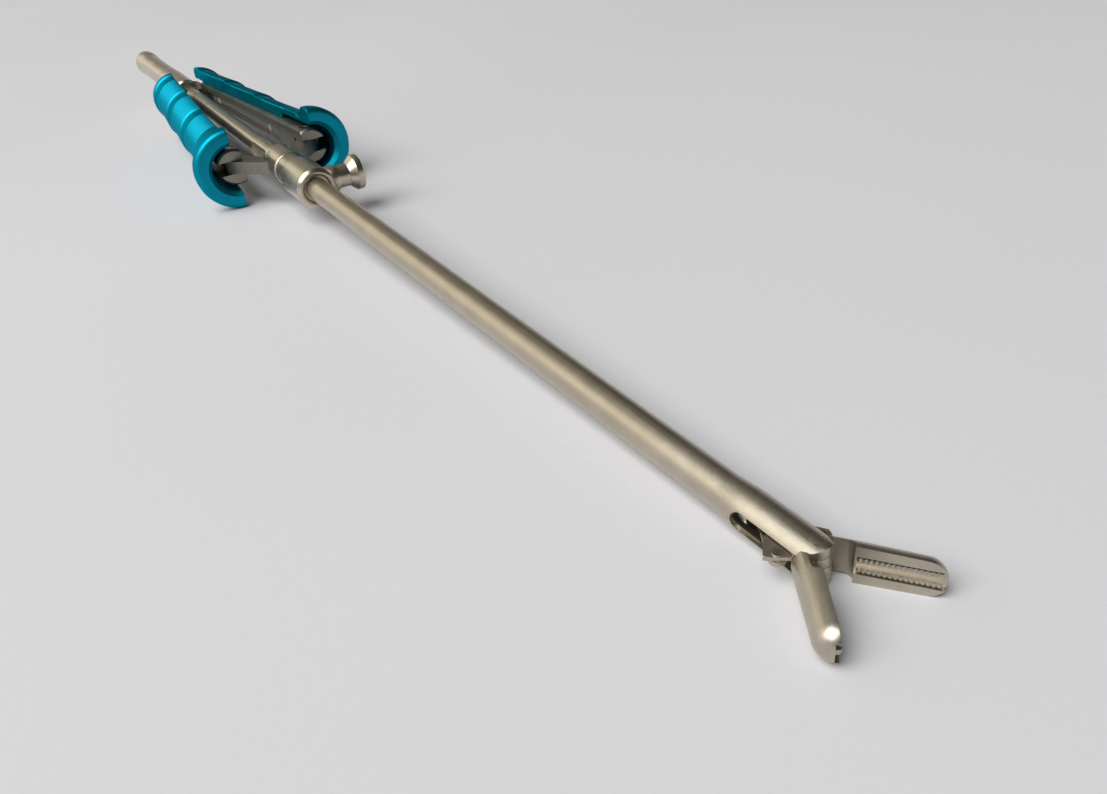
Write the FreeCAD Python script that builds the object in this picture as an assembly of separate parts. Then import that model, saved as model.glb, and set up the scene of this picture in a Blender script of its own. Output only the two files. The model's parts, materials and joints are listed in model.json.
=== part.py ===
import FreeCAD, Part
import math
import os

os.makedirs("parts", exist_ok=True)

# Atraumatic tissue forceps, millimetres.
# +X runs along the shaft to the jaws, +Z is up, and the origin is on the shaft axis at the collar's front face.
# The forceps are drawn open: squeezing the two grips draws the rod back and closes the jaws.

# Fits
slide_gap = 0.04  # radial, a round part that turns or slides in another
fixed_gap = 0.01  # radial, a part held in another
plate_gap = 0.06  # between flat plates that pass each other
handle_loop_gap = 0.30  # radial, at the lever pins, where the handle linkage takes up its play
jaw_loop_gap = 0.21  # radial, at the tail rivets, where the jaw linkage takes up its play
stop_gap = 0.30  # between the spine's boss and the front body when the grips are open

# Shaft
shaft_length = 146.0  # collar face to jaw pivot
tube_r = 2.5
tube_bore_r = 1.9
tube_spigot_r = 2.2
tube_spigot_length = 2.4

# Collar, front body and seal
collar_r = 4.5
collar_length = 11.0
collar_chamfer = 0.7
collar_bore_r = 2.3
collar_socket_depth = 3.0
body_spigot_r = 3.4
body_r = 4.0
body_length = 14.6  # behind the collar
body_waist_r = 3.65
spring_chamber_r = 2.2
spring_chamber_length = 9.2
seal_length = 1.6
washer_length = 0.9

# Return spring
spring_wire_r = 0.2
spring_wire_sides = 6
spring_mean_r = 1.6
spring_turns = 5.0
spring_ring_r = 2.0
spring_ring_length = 0.8

# Flush port
port_x = -3.9  # from the collar's front face
port_r = 2.9
port_neck_r = 2.55
port_flange_r = 3.9
port_flange_thickness = 1.9
port_tip_y = 11.5
port_socket_mouth_r = 2.15
port_socket_end_r = 1.96
port_socket_depth = 6.2
port_drill_r = 1.1
port_spigot_r = 2.0
port_spigot_depth = 1.6

# Rod and its head
rod_r = 1.0
rod_head_r = 1.7
rod_head_length = 7.0
rod_head_nose = 1.1  # in front of its pin
rod_pin_r = 0.5

# Jaw fork
fork_r = 2.75
fork_length = 24.0  # behind the pivot
fork_widening = (14.0, 10.0)  # behind the pivot, where the fork grows from the tube's size to its own
fork_spigot_length = 8.0
fork_slot_height = 2.7
fork_slot_length = 10.4  # behind the pivot
fork_nose = 1.9  # radius of each tongue's end, about the pivot
fork_channel_end = 5.4  # behind the pivot
pivot_pin_r = 0.8

# Jaws
jaw_open_deg = 35.0
jaw_length = 13.4
jaw_neck_r = 2.65
jaw_neck_end = 4.1  # in front of the pivot, where the biting face starts
jaw_neck_wall = 1.15  # from the biting face back to the hollowed neck
jaw_neck_hollow_r = 0.9  # at the front end of the hollow
jaw_root_start = 1.1  # in front of the pivot, where the jaw's back starts
jaw_tip_r = 2.45
jaw_nose_length = 2.1
hub_r = 1.9
hub_gap = 0.12  # between a hub or a tongue and the jaws' roots
face_gap = 0.10  # between the closed faces
tail_arm = 3.95
tail_lead_deg = 23.5  # from the closed jaw's line
tail_end = 5.4  # from the pivot, measured along the tail's own lean
tail_end_lean_deg = 10.0
tail_inner_side = 0.95  # past the jaws' meeting plane
tail_corner = 0.35
tail_step_r = 2.6  # about the pivot, where the tail thins to make room for its link
tail_trim = 0.05  # inside the fork's round outline when the jaws are closed
tail_thickness = 0.5
rivet_r = 0.5
rivet_head_r = 0.7
rivet_head_height = 0.18
jaw_link_length = 6.5
jaw_link_half_width = 0.9
jaw_link_eye_r = 1.05  # at the rivet

# Jaw teeth
tooth_zone_start = 4.3
tooth_tip_gap = 0.25  # from the last tooth to the jaw's tip
tooth_pitch = 0.54
tooth_height = 0.22
channel_half_width = 1.25
channel_rear_gap = 0.6  # behind the first tooth
channel_depth = 0.5
pair_row_inner = 0.44
pair_row_outer = 0.98
middle_row_half_width = 0.32
middle_row_rise = 0.25  # above the borders of its jaw

# Grip levers
hinge_y = 2.9
hinge_eye_r = 1.65
hinge_pin_r = 0.8
hinge_plate_height = 3.0
lever_open_deg = 4.62
lever_reach = 80.76  # hinge to link pin
lever_front = 2.5  # in front of the link pin
lever_front_r = 4.3
lever_rear_r = 3.2
lever_bar_start = 9.6  # from the hinge
lever_flat_front = 1.95  # flat inner side, measured from the lever's axis at the link pin
lever_flat_rear = 0.40  # and at the hinge
lever_groove_half_width = 1.5
lever_groove_depth = 0.9
lever_groove_start = 14.0
lever_groove_stop = 12.8  # behind the link pin
lever_pin_r = 1.1
lever_pin_half_length = 4.12
lever_slot_height = 3.1

# Handle links
link_pin_setback = 2.2  # in front of the front body's rear face
link_pin_y = 2.9
link_length = 10.4
link_pin_r = 0.75
link_inner_eye_r = 1.75
link_outer_eye_r = 2.3

# Grips
grip_rear = 5.0  # from the hinge
grip_overhang = 4.54  # in front of the link pin
grip_r = 7.0
grip_valley_r = 6.55
grip_step_length = 1.3  # the short drop at the rear of each hollow
grip_rise_mid_r = 6.68
grip_rear_r = 5.9
grip_rear_round = 2.4
grip_ridge_start = 8.6
grip_scallops = 3
grip_front_land = 5.8  # between the last hollow and the groove
grip_groove_slope = 0.9
grip_groove_r = 6.45
grip_groove_width = 2.6
grip_flange_r = 9.45
grip_flange_round = 1.3
grip_flange_thickness = 4.4
grip_cavity_r = 5.5
grip_cavity_length = 17.0
grip_mouth_chamfer = 0.9
grip_screw_r = 1.0
grip_screw_head_r = 1.9
grip_screw_tip = 5.4  # from the lever's axis
grip_screw_first = 22.0  # from the hinge
grip_screw_setback = 20.76  # the second screw, behind the link pin

# Spine and tail
spine_boss_r = 2.75
spine_boss_length = 11.7
spine_pin_setback = 6.4  # behind the boss's front face
spine_boss_flat = 1.8
spine_r = 2.3
spine_socket_depth = 13.0
spine_round_end = 11.0  # in front of the hinge
spine_tongue_half_width = 1.1
spine_tongue_half_height = 2.1
spine_tongue_seat = 14.0  # behind the hinge
spine_pin_r = 0.6
tail_r = 3.7
tail_front = 5.0  # in front of the hinge
tail_length = 50.0  # behind the hinge
tail_end_round = 3.2
tail_slot_depth = 2.4  # behind the hinge
tail_pin_r = 0.75
tail_pin_setback = 10.0  # behind the hinge
tail_waist_r = 3.45

# Derived places
pivot_x = shaft_length
body_rear_x = -collar_length - body_length
link_thickness = lever_slot_height - 2 * plate_gap
lever_angle = math.radians(lever_open_deg)
link_pin_x = body_rear_x + link_pin_setback
grip_pin_y = hinge_y + lever_reach * math.sin(lever_angle)
grip_pin_x = link_pin_x - math.sqrt(link_length**2 - (grip_pin_y - link_pin_y) ** 2)
hinge_x = grip_pin_x - lever_reach * math.cos(lever_angle)
spine_front_x = body_rear_x - stop_gap
grip_front = lever_reach + grip_overhang
grip_groove_start = grip_front - grip_flange_thickness - grip_groove_width
grip_ridge_end = grip_groove_start - grip_groove_slope - grip_front_land
grip_scallop_pitch = (grip_ridge_end - grip_ridge_start) / grip_scallops
grip_screw_places = (grip_screw_first, lever_reach - grip_screw_setback)
tail_angle = math.radians(jaw_open_deg + tail_lead_deg)
rivet_x = pivot_x - tail_arm * math.cos(tail_angle)
rivet_y = tail_arm * math.sin(tail_angle)
rod_pin_x = rivet_x - math.sqrt(jaw_link_length**2 - rivet_y**2)
hub_top = fork_slot_height / 2 - plate_gap / 2
hub_bottom = plate_gap / 2
tail_top = hub_top - rivet_head_height
tail_bottom = tail_top - tail_thickness
fork_rear_x = pivot_x - fork_length
fork_slot_x = pivot_x - fork_slot_length


def along_x(radius, x0, x1, y=0.0, z=0.0):
    start = FreeCAD.Vector(x0, y, z)
    return Part.makeCylinder(radius, x1 - x0, start, FreeCAD.Vector(1, 0, 0))


def along_y(radius, y0, y1, x=0.0, z=0.0):
    start = FreeCAD.Vector(x, y0, z)
    return Part.makeCylinder(radius, y1 - y0, start, FreeCAD.Vector(0, 1, 0))


def along_z(radius, z0, z1, x=0.0, y=0.0):
    start = FreeCAD.Vector(x, y, z0)
    return Part.makeCylinder(radius, z1 - z0, start, FreeCAD.Vector(0, 0, 1))


def block(x0, x1, y0, y1, z0, z1):
    corner = FreeCAD.Vector(x0, y0, z0)
    return Part.makeBox(x1 - x0, y1 - y0, z1 - z0, corner)


def outline(points):
    """A closed wire through points (x, y). A point given as ("arc", through, end) bends the edge."""
    edges = []
    first = FreeCAD.Vector(points[0][0], points[0][1], 0)
    here = first
    for point in points[1:]:
        if point[0] == "arc":
            through = FreeCAD.Vector(point[1][0], point[1][1], 0)
            there = FreeCAD.Vector(point[2][0], point[2][1], 0)
            edges.append(Part.Arc(here, through, there).toShape())
        else:
            there = FreeCAD.Vector(point[0], point[1], 0)
            edges.append(Part.LineSegment(here, there).toShape())
        here = there
    if here.distanceToPoint(first) > 1e-7:
        edges.append(Part.LineSegment(here, first).toShape())
    return Part.Wire(edges)


def turned(points, angle=360.0):
    """A profile of (x, radius) points turned about the X axis."""
    face = Part.Face(outline(points))
    return face.revolve(FreeCAD.Vector(0, 0, 0), FreeCAD.Vector(1, 0, 0), angle)


def plate(points, z0, z1):
    """A flat outline in plan, from z0 to z1."""
    face = Part.Face(outline(points))
    face.translate(FreeCAD.Vector(0, 0, z0))
    return face.extrude(FreeCAD.Vector(0, 0, z1 - z0))


def bar_between(start, end, start_r, end_r, z0, z1):
    """A flat link in plan with a round eye at each end."""
    dx = end[0] - start[0]
    dy = end[1] - start[1]
    length = math.hypot(dx, dy)
    lean = math.acos((start_r - end_r) / length)
    heading = math.atan2(dy, dx)

    def rim(centre, radius, angle):
        return (centre[0] + radius * math.cos(angle), centre[1] + radius * math.sin(angle))

    up = heading + lean
    down = heading - lean
    points = [
        rim(start, start_r, up),
        ("arc", rim(start, start_r, heading + math.pi), rim(start, start_r, down)),
        rim(end, end_r, down),
        ("arc", rim(end, end_r, heading), rim(end, end_r, up)),
    ]
    return plate(points, z0, z1)


def mirrored(shape):
    """The same piece on the other side of the shaft."""
    return shape.mirror(FreeCAD.Vector(0, 0, 0), FreeCAD.Vector(0, 1, 0))


def turned_over(shape):
    """The same piece turned half way round the shaft's axis."""
    copy = shape.copy()
    copy.rotate(FreeCAD.Vector(0, 0, 0), FreeCAD.Vector(1, 0, 0), 180)
    return copy


def save(node, shape):
    solids = shape.Solids
    if len(solids) == 1:
        shape = solids[0]
    else:
        shape = Part.makeCompound(solids)
    shape.exportStep("parts/" + node + ".step")
    print(node, len(solids), round(shape.Volume, 3), shape.isValid())


# Shaft tube, with a spigot that seats in the collar
def make_shaft_tube():
    tube = along_x(tube_r, 0, fork_rear_x)
    spigot = along_x(tube_spigot_r, -tube_spigot_length, 0)
    bore = along_x(tube_bore_r, -tube_spigot_length - 1, fork_rear_x + 1)
    return tube.fuse(spigot).cut(bore).removeSplitter()


# Collar, the round ring in front of the grips that carries the flush port
def make_collar():
    rear = -collar_length
    step = rear + collar_socket_depth
    profile = [
        (rear, body_spigot_r + fixed_gap),
        (rear, collar_r - 0.3),
        (rear + 0.3, collar_r),
        (-collar_chamfer, collar_r),
        (0, collar_r - collar_chamfer),
        (0, tube_r + 0.9),
        (-0.5, tube_r + 0.35),
        (-0.5, tube_spigot_r + fixed_gap),
        (-tube_spigot_length, tube_spigot_r + fixed_gap),
        (-tube_spigot_length, collar_bore_r),
        (step, collar_bore_r),
        (step, body_spigot_r + fixed_gap),
    ]
    ring = turned(profile)
    seat = along_y(port_spigot_r + fixed_gap, 0, collar_r + 1, port_x)
    return ring.cut(seat)


# Flush port on the side of the collar, with its tapered socket
def make_flush_port():
    start = port_x
    root = collar_r - port_spigot_depth
    flange_y = port_tip_y - port_flange_thickness
    half = 0.5 * (collar_r + flange_y)
    profile = [
        (0, 0),
        (0, port_r),
        (half - 1.6, port_r),
        (half - 0.9, port_neck_r),
        (flange_y - 1.2, port_neck_r),
        (flange_y, port_flange_r - 0.3),
        (flange_y + 0.3, port_flange_r),
        (port_tip_y - 0.35, port_flange_r),
        (port_tip_y, port_flange_r - 0.35),
        (port_tip_y, 0),
    ]
    body = turned(profile)
    socket = turned(
        [
            (port_tip_y - port_socket_depth, 0),
            (port_tip_y - port_socket_depth, port_socket_end_r),
            (port_tip_y, port_socket_mouth_r),
            (port_tip_y, 0),
        ]
    )
    body = body.cut(socket)
    body.rotate(FreeCAD.Vector(0, 0, 0), FreeCAD.Vector(0, 0, 1), 90)
    body.translate(FreeCAD.Vector(start, 0, 0))
    body = body.cut(along_x(collar_r + fixed_gap, start - 2 * port_r, start + 2 * port_r))
    body = body.common(block(start - 9, start + 9, 0, port_tip_y + 1, -9, 9))
    spigot = along_y(port_spigot_r, root, collar_r + 0.6, start)
    body = body.fuse(spigot)
    drill = along_y(port_drill_r, 0, port_tip_y, start)
    return body.cut(drill).removeSplitter()


# Front body behind the collar: seal, spring chamber and the fork that holds the link pins
def make_front_body():
    rear = body_rear_x
    front = -collar_length + collar_socket_depth - plate_gap
    profile = [
        (front, 0),
        (front, body_spigot_r),
        (-collar_length, body_spigot_r),
        (-collar_length, body_r),
        (-collar_length - 1.5, body_r),
        (-collar_length - 2.2, body_waist_r),
        (-collar_length - 5.6, body_waist_r),
        (-collar_length - 6.3, body_r),
        (rear + 0.4, body_r),
        (rear, body_r - 0.4),
        (rear, 0),
    ]
    body = turned(profile)
    slot_front = link_pin_x + link_inner_eye_r + 3 * plate_gap
    half = lever_slot_height / 2
    slot = block(rear - 1, slot_front, -body_r - 1, body_r + 1, -half, half)
    chamber = along_x(spring_chamber_r, front - spring_chamber_length, front + 1)
    guide = along_x(rod_r + slide_gap, rear - 1, front)
    body = body.cut(slot).cut(chamber).cut(guide)
    for side in (-1, 1):
        y = side * link_pin_y
        body = body.cut(along_z(link_pin_r + fixed_gap, -body_r, body_r, link_pin_x, y))
    return body


def make_link_pins():
    reach = math.sqrt(body_r**2 - (link_pin_y + link_pin_r) ** 2)
    pins = []
    for side in (-1, 1):
        pins.append(along_z(link_pin_r, -reach, reach, link_pin_x, side * link_pin_y))
    return Part.makeCompound(pins)


# Seal, washer and return spring, in the chamber round the rod
def chamber_front():
    return -collar_length + collar_socket_depth - plate_gap


def make_rod_seal():
    front = chamber_front() - plate_gap
    rear = front - seal_length
    outer = spring_chamber_r - fixed_gap
    inner = rod_r + slide_gap
    round_in = 0.3
    profile = [
        (rear, inner + round_in),
        (rear, outer - round_in),
        (rear + round_in, outer),
        (front - round_in, outer),
        (front, outer - round_in),
        (front, inner + round_in),
        (front - round_in, inner),
        (rear + round_in, inner),
    ]
    return turned(profile)


def washer_front():
    return chamber_front() - plate_gap - seal_length - fixed_gap


def make_seal_washer():
    front = washer_front()
    ring = along_x(spring_chamber_r - fixed_gap, front - washer_length, front)
    hole = along_x(rod_r + slide_gap, front - washer_length - 1, front + 1)
    return ring.cut(hole)


def spring_ring_front():
    return washer_front() - washer_length - plate_gap


def make_spring_ring():
    front = spring_ring_front()
    ring = along_x(spring_ring_r, front - spring_ring_length, front)
    hole = along_x(rod_r + fixed_gap, front - spring_ring_length - 1, front + 1)
    return ring.cut(hole)


def make_return_spring():
    front = spring_ring_front() - spring_ring_length - plate_gap
    rear = chamber_front() - spring_chamber_length + plate_gap
    height = front - rear - 2 * spring_wire_r
    pitch = height / spring_turns
    helix = Part.makeHelix(pitch, height, spring_mean_r)
    start = FreeCAD.Vector(spring_mean_r, 0, 0)
    rise = FreeCAD.Vector(0, 2 * math.pi * spring_mean_r, pitch)
    rise.normalize()
    out = FreeCAD.Vector(1, 0, 0)
    across = rise.cross(out)
    corners = []
    for i in range(spring_wire_sides + 1):
        angle = 2 * math.pi * i / spring_wire_sides
        corners.append(start + (out * math.cos(angle) + across * math.sin(angle)) * spring_wire_r)
    section = Part.makePolygon(corners)
    coil = Part.Wire(helix.Edges).makePipeShell([section], True, True)
    coil.rotate(FreeCAD.Vector(0, 0, 0), FreeCAD.Vector(0, 1, 0), 90)
    coil.translate(FreeCAD.Vector(rear + spring_wire_r, 0, 0))
    return coil


# Pull rod, with a flat fork at its front end for the two jaw links
def make_pull_rod():
    rear = spine_front_x - spine_socket_depth + plate_gap
    front = rod_pin_x + rod_head_nose
    head_rear = front - rod_head_length
    profile = [
        (rear, 0),
        (rear, rod_r),
        (head_rear - 1.2, rod_r),
        (head_rear, rod_head_r - slide_gap),
        (front - 0.3, rod_head_r - slide_gap),
        (front, rod_head_r - slide_gap - 0.3),
        (front, 0),
    ]
    rod = turned(profile)
    half = tail_bottom
    slot_rear = rod_pin_x - jaw_link_half_width - 4 * plate_gap
    rod = rod.cut(block(slot_rear, front + 1, -rod_head_r, rod_head_r, -half, half))
    rod = rod.cut(along_z(spine_pin_r + fixed_gap, -rod_r - 1, rod_r + 1, spine_pin_x()))
    return rod.cut(along_z(rod_pin_r + fixed_gap, -rod_head_r, rod_head_r, rod_pin_x))


def make_rod_pin():
    reach = math.sqrt((rod_head_r - slide_gap) ** 2 - rod_pin_r**2)
    return along_z(rod_pin_r, -reach, reach, rod_pin_x)


# Jaw fork, the slotted head on the end of the tube
def make_jaw_fork():
    nose_x = pivot_x + fork_nose
    spigot_rear = fork_rear_x - fork_spigot_length
    profile = [
        (spigot_rear, 0),
        (spigot_rear, tube_bore_r - fixed_gap),
        (fork_rear_x, tube_bore_r - fixed_gap),
        (fork_rear_x, tube_r),
        (pivot_x - fork_widening[0], tube_r),
        (pivot_x - fork_widening[1], fork_r),
        (nose_x, fork_r),
        (nose_x, 0),
    ]
    fork = turned(profile)
    half = fork_slot_height / 2
    slot = block(fork_slot_x + half, nose_x + 1, -fork_r - 1, fork_r + 1, -half, half)
    slot = slot.fuse(along_y(half, -fork_r - 1, fork_r + 1, fork_slot_x + half))
    fork = fork.cut(slot)
    # In plan each tongue is round about the pivot, with shoulders that the open jaws' roots meet
    lean = math.radians(jaw_open_deg)
    shoulder = jaw_root_start - hub_gap
    side = fork_r + 1
    side_x = pivot_x + (shoulder - side * math.sin(lean)) / math.cos(lean)
    arrow = [
        (spigot_rear - 1, -side),
        (side_x, -side),
        (pivot_x + shoulder / math.cos(lean), 0),
        (side_x, side),
        (spigot_rear - 1, side),
    ]
    fork = fork.common(plate(arrow, -side, side).fuse(along_z(fork_nose, -side, side, pivot_x)))
    channel_end = pivot_x - fork_channel_end
    fork = fork.cut(along_x(rod_head_r, spigot_rear - 1, channel_end))
    return fork.cut(along_z(pivot_pin_r + fixed_gap, -fork_r, fork_r, pivot_x))


# Its ends are ground flush with the fork
def make_pivot_pin():
    pin = along_z(pivot_pin_r, -fork_r - 1, fork_r + 1, pivot_x)
    return pin.common(along_x(fork_r, pivot_x - 2 * pivot_pin_r, pivot_x + 2 * pivot_pin_r))


# Teeth: a row of fine points along the jaw's face
def tooth_row(z0, z1, root_y, crest_y):
    """A toothed bar on a face that looks towards -Y; the points reach crest_y."""
    count = int((jaw_length - tooth_tip_gap - tooth_zone_start) / tooth_pitch)
    valley_y = crest_y + tooth_height
    points = [(tooth_zone_start, root_y), (tooth_zone_start, valley_y)]
    for i in range(count):
        x = tooth_zone_start + i * tooth_pitch
        points.append((x + tooth_pitch / 2, crest_y))
        points.append((x + tooth_pitch, valley_y))
    points.append((tooth_zone_start + count * tooth_pitch, root_y))
    return plate(points, z0, z1).common(jaw_envelope())


def jaw_envelope():
    """The round outline of both closed jaws."""
    nose_start = jaw_length - jaw_nose_length
    nose_mid = (jaw_length - 0.28 * jaw_nose_length, 0.72 * jaw_tip_r)
    profile = [
        (0, 0),
        (0, jaw_neck_r),
        (jaw_neck_end, jaw_neck_r),
        (nose_start, jaw_tip_r),
        ("arc", nose_mid, (jaw_length, 0)),
    ]
    return turned(profile)


def tail_outline():
    """The closed jaw's tail in plan. Its outer side meets the other jaw's root when both are open."""
    lean = math.radians(tail_end_lean_deg)
    meet = math.radians(2 * jaw_open_deg)
    shoulder = jaw_root_start - hub_gap
    inner = tail_inner_side
    outer = -fork_r

    def end_x(y):
        return -(tail_end + y * math.sin(lean)) / math.cos(lean)

    def outer_x(y):
        return (shoulder + y * math.sin(meet)) / math.cos(meet)

    return [
        (0, inner),
        (end_x(inner) + tail_corner, inner),
        (end_x(inner), inner - tail_corner),
        (end_x(outer), outer),
        (outer_x(outer), outer),
        (0, -shoulder / math.sin(meet)),
    ]


def closed_jaw():
    """One jaw closed along X from the pivot at the origin, on the +Y side, with no teeth yet."""
    face_y = face_gap / 2
    half = block(-1, jaw_length + 1, face_y, jaw_neck_r + 1, -4, 4)
    blade = jaw_envelope().common(half)
    blade = blade.cut(along_z(fork_nose + hub_gap, -4, 4))
    blade = blade.cut(block(-1, jaw_root_start, 0, jaw_neck_r + 1, -4, 4))
    hollow_x = jaw_neck_end - jaw_neck_hollow_r
    blade = blade.cut(block(-1, hollow_x, 0, jaw_neck_wall, -4, 4))
    blade = blade.cut(along_z(jaw_neck_hollow_r, -4, 4, hollow_x, jaw_neck_wall - jaw_neck_hollow_r))
    neck = block(0, fork_nose + hub_gap, jaw_neck_wall, hub_r, hub_bottom, hub_top)
    hub = along_z(hub_r, hub_bottom, hub_top)
    lead = math.radians(tail_lead_deg)
    rivet = (-tail_arm * math.cos(lead), -tail_arm * math.sin(lead))
    tail = plate(tail_outline(), tail_bottom, tail_top)
    step = plate(tail_outline(), hub_bottom, hub_top).common(along_z(tail_step_r, -4, 4))
    tail = tail.fuse(step).common(along_x(fork_r - tail_trim, -2 * tail_arm, tail_arm))
    jaw = blade.fuse(neck).fuse(hub).fuse(tail)
    channel = block(
        tooth_zone_start - channel_rear_gap,
        jaw_length + 1,
        0,
        face_y + channel_depth,
        -channel_half_width,
        channel_half_width,
    )
    jaw = jaw.cut(channel)
    jaw = jaw.cut(along_z(pivot_pin_r + slide_gap, -4, 4))
    return jaw.cut(along_z(rivet_r + fixed_gap, 0, hub_top + 1, rivet[0], rivet[1]))


def make_jaw_right():
    face_y = face_gap / 2
    root_y = face_y + channel_depth
    jaw = closed_jaw()
    jaw = jaw.fuse(tooth_row(pair_row_inner, pair_row_outer, root_y, face_y))
    jaw = jaw.fuse(tooth_row(-pair_row_outer, -pair_row_inner, root_y, face_y))
    jaw = jaw.removeSplitter()
    jaw.rotate(FreeCAD.Vector(0, 0, 0), FreeCAD.Vector(0, 0, 1), jaw_open_deg)
    jaw.translate(FreeCAD.Vector(pivot_x, 0, 0))
    return jaw


def make_jaw_left():
    face_y = face_gap / 2
    root_y = face_y + channel_depth
    width = middle_row_half_width
    jaw = closed_jaw()
    jaw = jaw.fuse(tooth_row(-width, width, root_y, -middle_row_rise)).removeSplitter()
    jaw = turned_over(jaw)
    jaw.rotate(FreeCAD.Vector(0, 0, 0), FreeCAD.Vector(0, 0, 1), -jaw_open_deg)
    jaw.translate(FreeCAD.Vector(pivot_x, 0, 0))
    return jaw


# The right jaw's tail lies to the left of the shaft, and its link under it
def make_jaw_right_rivet():
    shank = along_z(rivet_r, hub_bottom, tail_top, rivet_x, -rivet_y)
    head = along_z(rivet_head_r, tail_top, hub_top, rivet_x, -rivet_y)
    return shank.fuse(head)


def make_jaw_left_rivet():
    return turned_over(make_jaw_right_rivet())


def make_jaw_right_link():
    top = tail_bottom - plate_gap
    start = (rod_pin_x, 0)
    end = (rivet_x, -rivet_y)
    link = bar_between(start, end, jaw_link_half_width, jaw_link_eye_r, hub_bottom, top)
    link = link.cut(along_z(rod_pin_r + slide_gap, 0, top + 1, rod_pin_x))
    return link.cut(along_z(rivet_r + jaw_loop_gap, 0, top + 1, end[0], end[1]))


def make_jaw_left_link():
    return turned_over(make_jaw_right_link())


# Grip levers are drawn along X from their hinge, on the right, then turned to their open angle
def on_right_lever(shape):
    shape.rotate(FreeCAD.Vector(0, 0, 0), FreeCAD.Vector(0, 0, 1), lever_open_deg)
    shape.translate(FreeCAD.Vector(hinge_x, hinge_y, 0))
    return shape


def lever_radius(along):
    share = (along - lever_bar_start) / (lever_reach + lever_front - lever_bar_start)
    return lever_rear_r + share * (lever_front_r - lever_rear_r)


def lever_flat(along):
    return -lever_flat_rear - (lever_flat_front - lever_flat_rear) * along / lever_reach


def make_lever():
    front = lever_reach + lever_front
    profile = [
        (lever_bar_start, 0),
        (lever_bar_start, lever_rear_r - 0.6),
        (lever_bar_start + 1.0, lever_rear_r),
        (front - 0.5, lever_front_r),
        (front, lever_front_r - 0.5),
        (front, 0),
    ]
    bar = turned(profile)
    deep = -2 * lever_front_r
    inside = [
        (0, lever_flat(0)),
        (front + 1, lever_flat(front + 1)),
        (front + 1, deep),
        (0, deep),
    ]
    bar = bar.cut(plate(inside, -lever_front_r - 1, lever_front_r + 1))
    groove_end = lever_reach - lever_groove_stop
    groove = [
        (lever_groove_start, lever_flat(lever_groove_start) + lever_groove_depth),
        (groove_end, lever_flat(groove_end) + lever_groove_depth),
        (groove_end, deep),
        (lever_groove_start, deep),
    ]
    width = lever_groove_half_width
    bar = bar.cut(plate(groove, -width, width))
    half = hinge_plate_height / 2 - plate_gap
    eye = along_z(hinge_eye_r, -half, half)
    tongue = block(0, lever_bar_start + 1, -hinge_eye_r, hinge_eye_r, -half, half)
    tongue = tongue.cut(plate(inside, -half, half).common(block(lever_bar_start, front, deep, 0, -9, 9)))
    lever = bar.fuse(tongue).fuse(eye)
    slot_rear = lever_reach - link_outer_eye_r - 8 * plate_gap
    half = lever_slot_height / 2
    lever = lever.cut(block(slot_rear, front + 1, deep, lever_front_r + 1, -half, half))
    lever = lever.cut(along_z(hinge_pin_r + slide_gap, -lever_front_r, lever_front_r))
    lever = lever.cut(along_z(lever_pin_r + fixed_gap, -9, 9, lever_reach))
    for place in grip_screw_places:
        lever = lever.cut(screw_at(place, fixed_gap))
    return on_right_lever(lever.removeSplitter())


def make_lever_pin():
    pin = along_z(lever_pin_r, -lever_pin_half_length, lever_pin_half_length, lever_reach)
    pin = pin.makeChamfer(0.25, pin.Edges)
    return on_right_lever(pin)


def screw_at(place, extra):
    """A countersunk screw from the floor of the lever's groove out into the grip."""
    seat = lever_flat(place) + lever_groove_depth
    slope = grip_screw_head_r - grip_screw_r
    profile = [
        (seat, 0),
        (seat, grip_screw_head_r - 0.5 + extra),
        (seat + slope - 0.5, grip_screw_r + extra),
        (grip_screw_tip + extra, grip_screw_r + extra),
        (grip_screw_tip + extra, 0),
    ]
    screw = turned(profile)
    screw.rotate(FreeCAD.Vector(0, 0, 0), FreeCAD.Vector(0, 0, 1), 90)
    screw.translate(FreeCAD.Vector(place, 0, 0))
    return screw


def make_grip_screws():
    screws = [screw_at(place, 0) for place in grip_screw_places]
    return on_right_lever(Part.makeCompound(screws))


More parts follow.
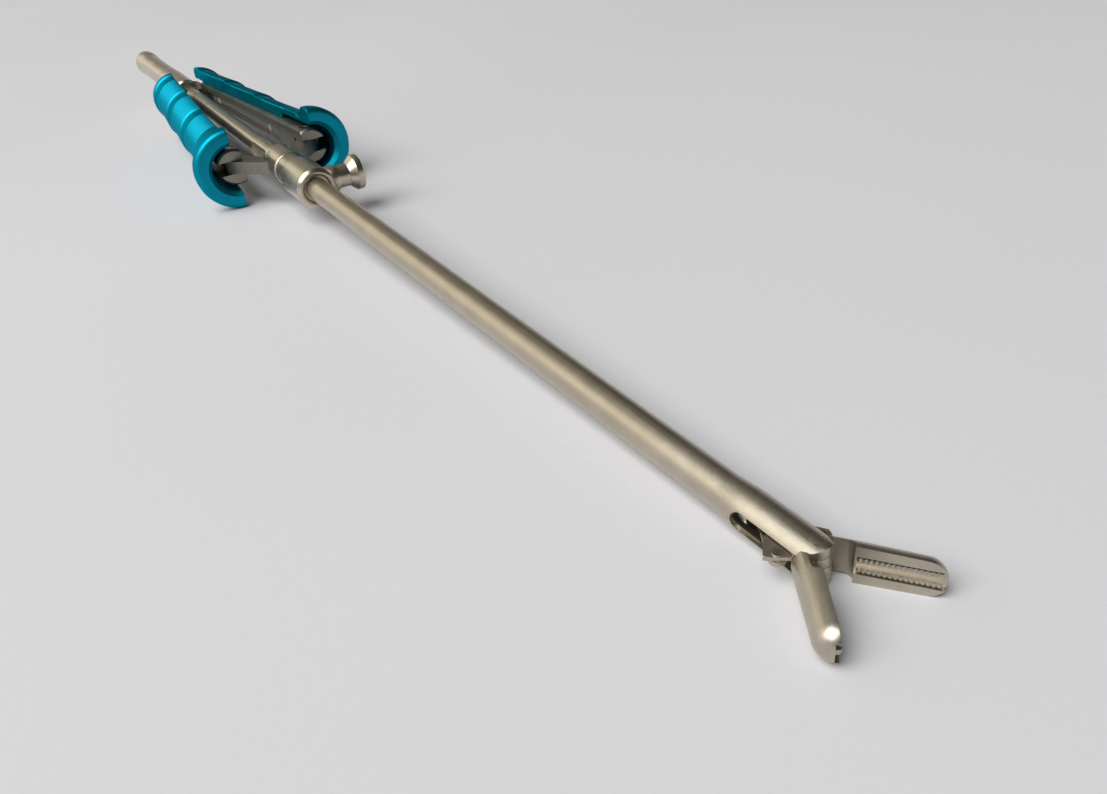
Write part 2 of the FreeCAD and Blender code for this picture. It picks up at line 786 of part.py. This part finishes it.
# Grip, a half-round finger piece over the lever with three stepped hollows and a front flange
def make_grip():
    points = [(grip_rear, lever_rear_r + 0.5)]
    points.append((grip_rear, grip_rear_r - grip_rear_round * 0.4))
    bend = (grip_rear + 0.35 * grip_rear_round, grip_rear_r + 0.35 * (grip_r - grip_rear_r))
    points.append(("arc", bend, (grip_rear + grip_rear_round, grip_r)))
    x = grip_ridge_start
    points.append((x, grip_r))
    for i in range(grip_scallops):
        foot = x + grip_step_length
        x = x + grip_scallop_pitch
        points.append((foot, grip_valley_r))
        points.append(("arc", ((foot + x) / 2, grip_rise_mid_r), (x, grip_r)))
    flange_rear = grip_front - grip_flange_thickness
    points.append((grip_groove_start - grip_groove_slope, grip_r))
    points.append((grip_groove_start, grip_groove_r))
    points.append((flange_rear - 1.4, grip_groove_r))
    curve_mid = (flange_rear - 0.35, grip_groove_r + 0.9)
    points.append(("arc", curve_mid, (flange_rear, grip_flange_r - grip_flange_round)))
    turn = 0.3 * grip_flange_round
    round_mid = (flange_rear + turn, grip_flange_r - turn)
    points.append(("arc", round_mid, (flange_rear + grip_flange_round, grip_flange_r)))
    points.append((grip_front - grip_flange_round, grip_flange_r))
    round_mid = (grip_front - turn, grip_flange_r - turn)
    points.append(("arc", round_mid, (grip_front, grip_flange_r - grip_flange_round)))
    points.append((grip_front, grip_cavity_r + grip_mouth_chamfer))
    points.append((grip_front - grip_mouth_chamfer, grip_cavity_r))
    cavity_rear = grip_front - grip_cavity_length
    points.append((cavity_rear, grip_cavity_r))
    points.append((cavity_rear, lever_radius(cavity_rear) + plate_gap))
    seat_start = lever_bar_start + 1.0
    points.append((seat_start, lever_radius(seat_start) + plate_gap))
    points.append((seat_start, lever_rear_r + 0.5))
    shell = turned(points)
    outer_half = block(0, grip_front + 1, 0, grip_flange_r + 1, -grip_flange_r - 1, grip_flange_r + 1)
    shell = shell.common(outer_half)
    for place in grip_screw_places:
        shell = shell.cut(screw_at(place, fixed_gap))
    return on_right_lever(shell)


# Handle link, from the front body's pin out to the lever's fork
def make_handle_link():
    half = link_thickness / 2
    start = (link_pin_x, link_pin_y)
    end = (grip_pin_x, grip_pin_y)
    link = bar_between(start, end, link_inner_eye_r, link_outer_eye_r, -half, half)
    link = link.cut(along_z(link_pin_r + slide_gap, -half - 1, half + 1, start[0], start[1]))
    return link.cut(along_z(lever_pin_r + handle_loop_gap, -half - 1, half + 1, end[0], end[1]))


# Spine between the grips: boss that takes the rod, round bar, and flat tongue in the tail
def make_spine():
    boss_rear = spine_front_x - spine_boss_length
    round_end = hinge_x + spine_round_end
    profile = [
        (round_end, 0),
        (round_end, spine_r - 0.3),
        (round_end + 0.5, spine_r),
        (boss_rear - 0.8, spine_r),
        (boss_rear, spine_boss_r),
        (spine_front_x - 0.4, spine_boss_r),
        (spine_front_x, spine_boss_r - 0.4),
        (spine_front_x, 0),
    ]
    spine = turned(profile)
    for side in (-1, 1):
        y0 = min(side * spine_boss_flat, side * 9)
        y1 = max(side * spine_boss_flat, side * 9)
        spine = spine.cut(block(boss_rear, spine_front_x + 1, y0, y1, -9, 9))
    width = spine_tongue_half_width
    height = spine_tongue_half_height
    tongue_rear = hinge_x - spine_tongue_seat
    spine = spine.fuse(block(tongue_rear, round_end + 1, -width, width, -height, height))
    socket = along_x(rod_r + fixed_gap, spine_front_x - spine_socket_depth, spine_front_x + 1)
    spine = spine.cut(socket)
    spine = spine.cut(along_z(spine_pin_r + fixed_gap, -9, 9, spine_pin_x()))
    spine = spine.cut(along_y(tail_pin_r + fixed_gap, -9, 9, hinge_x - tail_pin_setback))
    return spine.removeSplitter()


def spine_pin_x():
    return spine_front_x - spine_pin_setback


def make_spine_pin():
    reach = math.sqrt(spine_boss_r**2 - spine_pin_r**2)
    return along_z(spine_pin_r, -reach, reach, spine_pin_x())


# Tail behind the grips, slotted for the levers' eyes and for the spine's tongue
def make_tail():
    front = hinge_x + tail_front
    rear = hinge_x - tail_length
    middle = hinge_x - spine_tongue_seat
    turn = 0.3 * tail_end_round
    profile = [
        (front, 0),
        (front, tail_r - 0.5),
        (front - 0.5, tail_r),
        (middle, tail_r),
        (middle - 2.0, tail_waist_r),
        (rear + 9.0, tail_waist_r),
        (rear + 7.0, tail_r),
        (rear + tail_end_round, tail_r),
        ("arc", (rear + turn, tail_r - turn), (rear, tail_r - tail_end_round)),
        (rear, 0),
    ]
    tail = turned(profile)
    half = hinge_plate_height / 2
    slot_rear = hinge_x - tail_slot_depth
    tail = tail.cut(block(slot_rear, front + 1, -9, 9, -half, half))
    width = spine_tongue_half_width + fixed_gap
    height = spine_tongue_half_height + fixed_gap
    tongue_rear = hinge_x - spine_tongue_seat - fixed_gap
    tail = tail.cut(block(tongue_rear, front + 1, -width, width, -height, height))
    for side in (-1, 1):
        y = side * hinge_y
        tail = tail.cut(along_z(hinge_pin_r + fixed_gap, -9, 9, hinge_x, y))
    return tail.cut(along_y(tail_pin_r + fixed_gap, -9, 9, hinge_x - tail_pin_setback))


def make_hinge_pins():
    reach = math.sqrt(tail_r**2 - (hinge_y + hinge_pin_r * 0.6) ** 2)
    pins = []
    for side in (-1, 1):
        pins.append(along_z(hinge_pin_r, -reach, reach, hinge_x, side * hinge_y))
    return Part.makeCompound(pins)


def make_tail_pin():
    reach = math.sqrt(tail_r**2 - tail_pin_r**2)
    return along_y(tail_pin_r, -reach, reach, hinge_x - tail_pin_setback)


save("shaft_tube", make_shaft_tube())
save("collar", make_collar())
save("flush_port", make_flush_port())
save("front_body", make_front_body())
save("link_pins", make_link_pins())
save("rod_seal", make_rod_seal())
save("seal_washer", make_seal_washer())
save("jaw_fork", make_jaw_fork())
save("jaw_pivot_pin", make_pivot_pin())

save("pull_rod", make_pull_rod())
save("rod_pin", make_rod_pin())
save("spring_ring", make_spring_ring())
save("return_spring", make_return_spring())
save("spine", make_spine())
save("spine_pin", make_spine_pin())
save("tail", make_tail())
save("tail_pin", make_tail_pin())
save("hinge_pins", make_hinge_pins())

save("jaw_right", make_jaw_right())
save("jaw_left", make_jaw_left())
save("jaw_right_rivet", make_jaw_right_rivet())
save("jaw_left_rivet", make_jaw_left_rivet())
save("jaw_right_link", make_jaw_right_link())
save("jaw_left_link", make_jaw_left_link())

right_side = {
    "lever": make_lever(),
    "lever_pin": make_lever_pin(),
    "grip": make_grip(),
    "grip_screws": make_grip_screws(),
    "handle_link": make_handle_link(),
}
for piece, shape in right_side.items():
    save(piece + "_right", shape)
    save(piece + "_left", mirrored(shape))
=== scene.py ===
import math

import bpy
from mathutils import Matrix, Quaternion, Vector
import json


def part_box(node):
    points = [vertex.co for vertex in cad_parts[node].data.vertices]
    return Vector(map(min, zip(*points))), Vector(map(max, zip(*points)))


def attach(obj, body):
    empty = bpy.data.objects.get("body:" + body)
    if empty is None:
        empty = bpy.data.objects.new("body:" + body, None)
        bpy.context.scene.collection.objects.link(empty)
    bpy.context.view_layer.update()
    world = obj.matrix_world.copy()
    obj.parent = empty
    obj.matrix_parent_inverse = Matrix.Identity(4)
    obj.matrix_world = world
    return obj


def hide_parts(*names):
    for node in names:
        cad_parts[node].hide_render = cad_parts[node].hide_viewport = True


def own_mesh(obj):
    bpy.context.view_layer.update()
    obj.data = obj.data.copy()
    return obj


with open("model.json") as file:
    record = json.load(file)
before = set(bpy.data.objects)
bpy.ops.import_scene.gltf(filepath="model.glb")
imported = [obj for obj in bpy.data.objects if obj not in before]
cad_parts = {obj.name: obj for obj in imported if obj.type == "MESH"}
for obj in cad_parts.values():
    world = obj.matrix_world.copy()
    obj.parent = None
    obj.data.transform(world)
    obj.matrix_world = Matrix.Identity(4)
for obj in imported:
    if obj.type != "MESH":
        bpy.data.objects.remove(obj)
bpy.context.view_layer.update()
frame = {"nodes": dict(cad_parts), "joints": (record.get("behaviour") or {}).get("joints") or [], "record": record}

MM = 0.001

# Camera, in millimetres of the part's own frame
PHOTO_WIDTH = 1107
FOCAL_PIXELS = 950.0
SENSOR_WIDTH = 36.0
NEAREST = 5.0
FARTHEST = 20000.0
CAMERA_PLACE = Vector((196.98, -58.56, 73.41))
CAMERA_AIM = Vector((101.8, -4.7, 0.0))
CAMERA_ROLL = math.radians(-6.3)

# The table, which carries both grip flanges and the end of the jaw fork
TABLE_LEAN = math.radians(2.2)
TABLE_TOUCH = Vector((-29.0, 0.0, -9.47))
TABLE_SIZE = 2600.0

# The room around it: a pale wall up to a low height, and dim above
WALL_COLOUR = (0.66, 0.655, 0.67)
ROOM_DIM = (0.04, 0.0365, 0.03)
ROOM_LIGHT = (0.36, 0.33, 0.275)
WINDOW_WAY = (-0.70, -0.60, 0.40)
WINDOW_SPREAD = 0.15
WALL_TOP = math.radians(2)
WALL_FADE_END = math.radians(12)

# Painted shade in the jaw fork's bore, which is also rougher: the bore's radius, its front end, and how softly
# both fade
BORE_R = 2.2
BORE_R_FADE = 0.08
BORE_FRONT = 142.0
BORE_FRONT_FADE = 1.5
# Colour of the painted shade inside the bore
BORE_PAINTED_SHADE = (0.075, 0.068, 0.055)

# Edges, as deburring and polishing leave them
DEBURR = 0.06
GRIP_DEBURR = 0.16

# Corners closer than this are one corner
JOINED = 0.001
SPUN_JOINED = 0.0001

# Grips, measured along the lever from its hinge
LEVER_OPEN = math.radians(4.62)
GRIP_REAR = 5.0
GRIP_FRONT = 85.3
GRIP_R = 7.0
GRIP_VALLEY_R = 6.55
GRIP_RISE_MID_R = 6.68
SCALLOP_DROP = 0.7
GRIP_REAR_DROP = 2.1
GRIP_REAR_ROUND = 2.4
GRIP_REAR_POINTS = 6
SCALLOP_START = 8.6
SCALLOP_PITCH = 21.0
SCALLOPS = 3
RIB_PITCH = 1.5
RIB_LAND = 0.8
RIB_DEPTH = 0.28
RIB_REAR = 3.0
RIB_FRONT = 0.9
RIB_REAR_POINTS = 4
NECK_R = 6.45
NECK_WIDTH = 2.6
NECK_SLOPE = 0.9
FLANGE_R = 9.45
FLANGE_WIDTH = 4.4
FLANGE_ROUND = 1.3
FLANGE_FOOT = ((1.4, 0.0), (0.6, 0.35), (0.15, 1.0))  # behind the flange, above the neck
CAVITY_R = 5.5
CAVITY_LENGTH = 17.0
MOUTH_CHAMFER = 0.9
SEAT_FRONT_R = 4.2
SEAT_REAR_R = 3.27
SEAT_REAR = 10.6
SEAT_RELIEF = 0.4
SPIN_STEPS = 64


# Shader sums
class Wire:
    """A shader value. A sum written on wires becomes Math nodes."""

    def __init__(self, sheet, socket):
        self.sheet = sheet
        self.socket = socket

    def __add__(self, other):
        return self.sheet.math("ADD", self, other)

    def __sub__(self, other):
        return self.sheet.math("SUBTRACT", self, other)

    def __rsub__(self, other):
        return self.sheet.math("SUBTRACT", other, self)

    def __mul__(self, other):
        return self.sheet.math("MULTIPLY", self, other)

    __radd__ = __add__


class Sheet:
    """The shader nodes of one material, or of the world."""

    def __init__(self, owner, shader="Principled BSDF"):
        owner.use_nodes = True
        self.owner = owner
        self.nodes = owner.node_tree.nodes
        self.links = owner.node_tree.links
        self.shader = self.nodes[shader]

    def feed(self, socket, value):
        if isinstance(value, Wire):
            self.links.new(value.socket, socket)
        else:
            socket.default_value = value

    def node(self, kind, settings=None, inputs=None, output=0):
        """A node of any kind: its settings first, then the values or wires of its sockets."""
        made = self.nodes.new("ShaderNode" + kind)
        for name, value in (settings or {}).items():
            setattr(made, name, value)
        for name, value in (inputs or {}).items():
            self.feed(made.inputs[name], value)
        return Wire(self, made.outputs[output])

    def math(self, operation, first, second):
        return self.node("Math", {"operation": operation}, {0: first, 1: second})

    def clamp(self, value, low, high):
        """The value spread from low..high to 0..1 and held there."""
        return self.node("MapRange", {"clamp": True}, {"Value": value, "From Min": low, "From Max": high})

    def place(self, scale):
        """Object coordinates, stretched by (x, y, z)."""
        spot = self.node("TexCoord", output="Object")
        return self.node("Mapping", {}, {"Vector": spot, "Scale": scale})

    def grain(self, scale, detail=3.0, rough=0.5):
        """Noise on stretched object coordinates."""
        inputs = {"Vector": self.place(scale), "Scale": 1.0, "Detail": detail, "Roughness": rough}
        return self.node("TexNoise", {}, inputs)

    def blend(self, share, first, second):
        """A colour between two, by a share from 0 to 1."""
        first, second = (tone if isinstance(tone, Wire) else (*tone, 1) for tone in (first, second))
        return self.node("Mix", {"data_type": "RGBA"}, {0: share, 6: first, 7: second}, 2)

    def bump(self, height, strength, distance):
        inputs = {"Height": height, "Strength": strength, "Distance": distance}
        return self.node("Bump", {}, inputs)

    def finish(self, **sockets):
        """Sets the surface shader, with names such as Base_Color for Base Color."""
        for name, value in sockets.items():
            self.feed(self.shader.inputs[name.replace("_", " ")], value)
        return self.owner


def new_sheet(name):
    return Sheet(bpy.data.materials.new(name))


# Metals
def steel(name, light, dark, roughness, streak, depth, shade_bore=False):
    """Stainless steel with fine tool marks: streak is how many marks a metre has along x, y and z.
    The last argument paints shade into the jaw fork's bore and makes the bore rougher."""
    sheet = new_sheet(name)
    marks = sheet.grain(streak, detail=4.0, rough=0.65)
    haze = sheet.grain((260, 260, 260), detail=3.0)
    pits = sheet.grain((9000, 9000, 9000), detail=2.0)
    tone = sheet.clamp(marks * 0.55 + haze * 0.45, 0.38, 0.62)
    colour = sheet.blend(tone, dark, light)
    gloss = roughness + (marks - 0.5) * 0.14 + (haze - 0.5) * 0.10
    normal = sheet.bump(marks * 0.8 + pits * 0.3, 0.35, depth)
    # Painted shade: the inside of the jaw fork's bore is darkened, and made rougher there
    if shade_bore:
        across = sheet.node("VectorMath", {"operation": "LENGTH"}, {0: sheet.place((0, 1, 1))}, "Value")
        along = sheet.node("SeparateXYZ", {}, {0: sheet.place((1, 1, 1))}, "X")
        inside = 1 - sheet.clamp(across, (BORE_R - BORE_R_FADE) * MM, BORE_R * MM)
        inside = inside * (1 - sheet.clamp(along, (BORE_FRONT - BORE_FRONT_FADE) * MM, BORE_FRONT * MM))
        colour = sheet.blend(inside, colour, BORE_PAINTED_SHADE)
        gloss = gloss + inside * 0.2
    return sheet.finish(Base_Color=colour, Metallic=1.0, Roughness=gloss, Normal=normal)


def blue_anodised(name):
    """Turquoise anodised aluminium, satin and a little cloudy, with fine marks of turning."""
    sheet = new_sheet(name)
    turned = sheet.grain((5200, 60, 60), detail=3.0, rough=0.6)
    cloud = sheet.grain((140, 140, 140), detail=3.0)
    tone = sheet.clamp(cloud * 0.6 + turned * 0.4, 0.35, 0.65)
    colour = sheet.blend(tone, (0.004, 0.245, 0.35), (0.006, 0.31, 0.44))
    gloss = 0.46 + (cloud - 0.5) * 0.12 + (turned - 0.5) * 0.10
    normal = sheet.bump(turned, 0.25, 0.00002)
    sheet.finish(Metallic=1.0, Specular_Tint=(0.25, 0.62, 0.70, 1))
    return sheet.finish(Base_Color=colour, Roughness=gloss, Normal=normal)


def black_rubber(name):
    sheet = new_sheet(name)
    grain = sheet.grain((2500, 2500, 2500))
    colour = sheet.blend(grain, (0.012, 0.012, 0.012), (0.035, 0.034, 0.033))
    normal = sheet.bump(grain, 0.3, 0.00003)
    return sheet.finish(Base_Color=colour, Roughness=0.7, Normal=normal)


def table_white(name):
    sheet = new_sheet(name)
    cloud = sheet.grain((5, 5, 5), detail=2.0)
    fibre = sheet.grain((900, 900, 900), detail=3.0)
    tone = sheet.clamp(cloud * 0.7 + fibre * 0.3, 0.3, 0.7)
    colour = sheet.blend(tone, (0.62, 0.615, 0.635), (0.66, 0.655, 0.67))
    normal = sheet.bump(fibre, 0.06, 0.0001)
    return sheet.finish(Base_Color=colour, Roughness=0.75, Specular_IOR_Level=0.2, Normal=normal)


LENGTHWISE = (45, 2600, 2600)
ROUND = (3800, 55, 55)
EVEN = (3200, 3200, 3200)

finishes = {
    "tube_steel": steel("tube_steel", (0.545, 0.488, 0.388), (0.478, 0.426, 0.337), 0.35, LENGTHWISE, 8e-6),
    "handle_steel": steel("handle_steel", (0.64, 0.58, 0.47), (0.55, 0.50, 0.405), 0.30, ROUND, 1.5e-6),
    # The lever steel is darker than the other steels as painted shade, for the levers and links that lie in shade
    # between the grips
    "lever_steel": steel("lever_steel", (0.29, 0.272, 0.24), (0.22, 0.206, 0.18), 0.40, LENGTHWISE, 8e-6),
    "jaw_steel": steel("jaw_steel", (0.55, 0.50, 0.41), (0.47, 0.425, 0.345), 0.38, EVEN, 3e-6, True),
    "pin_steel": steel("pin_steel", (0.58, 0.55, 0.47), (0.47, 0.445, 0.38), 0.28, EVEN, 2e-6),
    "spring_steel": steel("spring_steel", (0.42, 0.40, 0.36), (0.34, 0.32, 0.29), 0.4, EVEN, 2e-6),
    "blue_grip": blue_anodised("blue_grip"),
    "seal_rubber": black_rubber("seal_rubber"),
}

slot_of = {row["node"]: row["material_slot"] for row in frame["record"]["subparts"]}
body_of = {node: body for body, nodes in frame["record"]["behaviour"]["bodies"].items() for node in nodes}
joint_at = {joint["name"]: Vector(joint["pos_m"]) for joint in frame["joints"] if "pos_m" in joint}


def clear_selection():
    bpy.ops.object.select_all(action="DESELECT")


def only(piece):
    clear_selection()
    piece.select_set(True)
    bpy.context.view_layer.objects.active = piece


def seat(piece, node):
    """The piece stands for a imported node, on that node's body and with its finish."""
    piece.data.materials.clear()
    piece.data.materials.append(finishes[slot_of[node]])
    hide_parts(node)
    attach(piece, body_of[node])


def break_edges(piece, width, segments=2, angle=32, smooth=32):
    """Rounds every edge sharper than an angle and shades the rest smooth, with wide faces kept true."""
    only(piece)
    edge = piece.modifiers.new("edges", "BEVEL")
    edge.width = width * MM
    edge.segments = segments
    edge.limit_method = "ANGLE"
    edge.angle_limit = math.radians(angle)
    bpy.ops.object.modifier_apply(modifier=edge.name)
    bpy.ops.object.shade_smooth_by_angle(angle=math.radians(smooth))
    true = piece.modifiers.new("true_faces", "WEIGHTED_NORMAL")
    true.keep_sharp = True
    bpy.ops.object.modifier_apply(modifier=true.name)


def merged(node):
    """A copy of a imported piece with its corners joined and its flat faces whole."""
    piece = bpy.data.objects.new(node + "_finished", frame["nodes"][node].data.copy())
    bpy.context.collection.objects.link(piece)
    only(piece)
    bpy.ops.mesh.customdata_custom_splitnormals_clear()
    bpy.ops.object.mode_set(mode="EDIT")
    bpy.ops.mesh.select_all(action="SELECT")
    bpy.ops.mesh.remove_doubles(threshold=JOINED * MM)
    bpy.ops.mesh.dissolve_limited(angle_limit=math.radians(0.5))
    bpy.ops.object.mode_set(mode="OBJECT")
    return piece


def make_deburred(node):
    """A merged piece with its edges broken, as deburring leaves them."""
    piece = merged(node)
    break_edges(piece, DEBURR)
    seat(piece, node)


def make_spring():
    """The return spring, which the ring on the rod pushes together as the rod slides back; here it is only seated,
    at its rest length.
    """
    spring = merged("return_spring")
    bpy.ops.object.shade_smooth_by_angle(angle=math.radians(40))
    seat(spring, "return_spring")
    rear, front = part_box("return_spring")
    slide = next(joint for joint in frame["joints"] if joint["name"] == "rod_slide")
    shortest = 1 - slide["range_m"][1] / (front.x - rear.x)
    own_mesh(spring)


# Grips
def scallop(start):
    """The outline of one finger hollow: a short drop at its rear, then a slow rise with fine ribs."""
    foot = start + SCALLOP_DROP
    end = start + SCALLOP_PITCH
    rise = end - foot
    ribs = int((rise - RIB_REAR - RIB_FRONT) / RIB_PITCH)
    first = end - RIB_FRONT - ribs * RIB_PITCH
    sag = (GRIP_VALLEY_R + GRIP_R) / 2 - GRIP_RISE_MID_R
    places = [(foot + (first - foot) * count / RIB_REAR_POINTS, 0) for count in range(RIB_REAR_POINTS)]
    for rib in range(ribs):
        land = first + rib * RIB_PITCH
        groove = land + (RIB_LAND + RIB_PITCH) / 2
        places += [(land, 0), (land + RIB_LAND, 0), (groove, RIB_DEPTH)]
    places += [(end - RIB_FRONT, 0), (end, 0)]
    outline = []
    for place, depth in places:
        share = (place - foot) / rise
        radius = GRIP_VALLEY_R + (GRIP_R - GRIP_VALLEY_R) * share - 4 * sag * share * (1 - share)
        outline.append((place, radius - depth))
    return outline


def arc(centre, radius, start, end, count=6):
    """Points round part of a circle in the section, angles in degrees."""
    points = []
    for step in range(count + 1):
        angle = math.radians(start + (end - start) * step / count)
        points.append((centre[0] + radius * math.cos(angle), centre[1] + radius * math.sin(angle)))
    return points


def grip_outline():
    """A grip's section as (place, radius): over the outside to the flange, and back through the hollow."""
    flange_rear = GRIP_FRONT - FLANGE_WIDTH
    neck = flange_rear - NECK_WIDTH
    cavity_rear = GRIP_FRONT - CAVITY_LENGTH
    points = [(GRIP_REAR, SEAT_REAR_R + SEAT_RELIEF), (GRIP_REAR, GRIP_R - GRIP_REAR_DROP)]
    for count in range(1, GRIP_REAR_POINTS + 1):
        turn = math.pi / 2 * count / GRIP_REAR_POINTS
        place = GRIP_REAR + GRIP_REAR_ROUND * (1 - math.cos(turn))
        points.append((place, GRIP_R - GRIP_REAR_DROP * (1 - math.sin(turn))))
    points.append((SCALLOP_START, GRIP_R))
    for count in range(SCALLOPS):
        points += scallop(SCALLOP_START + count * SCALLOP_PITCH)
    points += [(neck - NECK_SLOPE, GRIP_R), (neck, NECK_R)]
    points += [(flange_rear - behind, NECK_R + above) for behind, above in FLANGE_FOOT]
    points.append((flange_rear, FLANGE_R - FLANGE_ROUND))
    points += arc((flange_rear + FLANGE_ROUND, FLANGE_R - FLANGE_ROUND), FLANGE_ROUND, 170, 90)
    points += arc((GRIP_FRONT - FLANGE_ROUND, FLANGE_R - FLANGE_ROUND), FLANGE_ROUND, 90, 0)
    points += [(GRIP_FRONT, CAVITY_R + MOUTH_CHAMFER), (GRIP_FRONT - MOUTH_CHAMFER, CAVITY_R)]
    points += [(cavity_rear, CAVITY_R), (cavity_rear, SEAT_FRONT_R)]
    points += [(SEAT_REAR, SEAT_REAR_R), (SEAT_REAR, SEAT_REAR_R + SEAT_RELIEF)]
    return points


def half_spun(name, outline, steps):
    """A closed outline of (x, radius) spun half way round the x axis, on the +y side, cut faces filled."""
    clear_selection()
    bpy.ops.mesh.primitive_plane_add(size=MM, location=(0, 0, 0))
    piece = bpy.context.object
    piece.name = name
    bpy.ops.object.mode_set(mode="EDIT")
    bpy.ops.mesh.merge(type="CENTER")
    here = Vector((outline[0][0], 0, -outline[0][1])) * MM
    bpy.ops.transform.translate(value=here)
    for x, radius in outline[1:]:
        there = Vector((x, 0, -radius)) * MM
        bpy.ops.mesh.extrude_region_move(TRANSFORM_OT_translate={"value": there - here})
        here = there
    bpy.ops.mesh.select_all(action="SELECT")
    bpy.ops.mesh.remove_doubles(threshold=SPUN_JOINED * MM)
    bpy.ops.mesh.edge_face_add()
    bpy.ops.mesh.spin(steps=steps, angle=math.pi, center=(0, 0, 0), axis=(1, 0, 0), use_auto_merge=False)
    bpy.ops.mesh.select_all(action="SELECT")
    bpy.ops.mesh.remove_doubles(threshold=SPUN_JOINED * MM)
    bpy.ops.mesh.normals_make_consistent(inside=False)
    bpy.ops.object.mode_set(mode="OBJECT")
    if sum(vertex.co.y for vertex in piece.data.vertices) < 0:
        piece.data.transform(Matrix.Diagonal((1, -1, 1, 1)))
        piece.data.flip_normals()
    return piece


def make_grips():
    """The right grip, spun along its lever and swung out with it, and the left one as its mirror image."""
    right = half_spun("grip_right_ribbed", grip_outline(), SPIN_STEPS)
    break_edges(right, GRIP_DEBURR, segments=3, angle=86, smooth=30)
    hinge = joint_at["grip_right_squeeze"]
    right.data.transform(Matrix.Translation(hinge) @ Matrix.Rotation(LEVER_OPEN, 4, "Z"))
    left = bpy.data.objects.new("grip_left_ribbed", right.data.copy())
    bpy.context.collection.objects.link(left)
    left.data.transform(Matrix.Diagonal((1, -1, 1, 1)))
    left.data.flip_normals()
    seat(right, "grip_right")
    seat(left, "grip_left")


make_grips()

DEBURRED = (
    "collar", "flush_port", "front_body", "link_pins", "jaw_fork",
    "spine", "spine_pin", "tail", "tail_pin", "hinge_pins",
    "lever_right", "lever_pin_right", "lever_left", "lever_pin_left",
    "handle_link_right", "handle_link_left",
    "jaw_right", "jaw_left", "jaw_right_rivet", "jaw_left_rivet", "jaw_right_link", "jaw_left_link",
)
for node in DEBURRED:
    make_deburred(node)
make_spring()

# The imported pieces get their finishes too, shown or not
for node, packed in frame["nodes"].items():
    for place in packed.material_slots:
        place.material = finishes[slot_of[node]]


# Table, light and camera
def make_table():
    clear_selection()
    bpy.ops.mesh.primitive_plane_add(size=TABLE_SIZE * MM, location=TABLE_TOUCH * MM)
    table = bpy.context.object
    table.name = "table"
    table.rotation_euler = (0, -TABLE_LEAN, 0)
    table.data.materials.append(table_white("table_white"))


def soft_lamp(name, place, aim, width, height, power, colour):
    """A wide lamp, in metres and watts."""
    lamp = bpy.data.lights.new(name, "AREA")
    lamp.shape = "RECTANGLE"
    lamp.size = width
    lamp.size_y = height
    lamp.energy = power
    lamp.color = colour
    holder = bpy.data.objects.new(name, lamp)
    bpy.context.collection.objects.link(holder)
    holder.location = place
    holder.rotation_mode = "QUATERNION"
    holder.rotation_quaternion = (Vector(aim) - Vector(place)).to_track_quat("-Z", "Y")


def make_world():
    """A dim room that grows light towards the window, with a pale wall low down all round."""
    sheet = Sheet(bpy.data.worlds.new("room"), "Background")
    way = sheet.node("TexCoord", output="Generated")
    height = sheet.node("SeparateXYZ", {}, {0: way}, "Z")
    towards = sheet.node("VectorMath", {"operation": "DOT_PRODUCT"}, {0: way, 1: WINDOW_WAY}, "Value")
    room = sheet.blend(sheet.clamp(towards, WINDOW_SPREAD, 1.0), ROOM_DIM, ROOM_LIGHT)
    above_wall = sheet.clamp(height, math.sin(WALL_TOP), math.sin(WALL_FADE_END))
    backdrop = sheet.blend(above_wall, WALL_COLOUR, room)

    # The wall shows straight, in metal and through glass, and adds no light
    seen = 0.0
    for ray in ("Is Camera Ray", "Is Glossy Ray", "Is Transmission Ray"):
        seen = sheet.math("MAXIMUM", seen, sheet.node("LightPath", output=ray))
    bpy.context.scene.world = sheet.finish(Color=sheet.blend(seen, room, backdrop))


def make_camera():
    camera = bpy.data.cameras.new("camera")
    camera.sensor_width = SENSOR_WIDTH
    camera.lens = FOCAL_PIXELS / PHOTO_WIDTH * SENSOR_WIDTH
    camera.clip_start = NEAREST * MM
    camera.clip_end = FARTHEST * MM
    holder = bpy.data.objects.new("camera", camera)
    bpy.context.collection.objects.link(holder)
    holder.location = CAMERA_PLACE * MM
    holder.rotation_mode = "QUATERNION"
    level = (CAMERA_AIM - CAMERA_PLACE).to_track_quat("-Z", "Y")
    holder.rotation_quaternion = level @ Quaternion((0, 0, 1), CAMERA_ROLL)
    bpy.context.scene.camera = holder


make_table()
make_world()
make_camera()
soft_lamp("window", place=(-1.70, -1.75, 1.02), aim=(0, 0, 0.2), width=4.0, height=1.5, power=13.0,
          colour=(1.0, 0.935, 0.78))
soft_lamp("overhead", place=(0.15, -1.45, 2.1), aim=(0, 0, 0), width=2.4, height=2.4, power=88.0,
          colour=(0.965, 0.98, 1.0))
bpy.context.scene.view_settings.view_transform = "Standard"
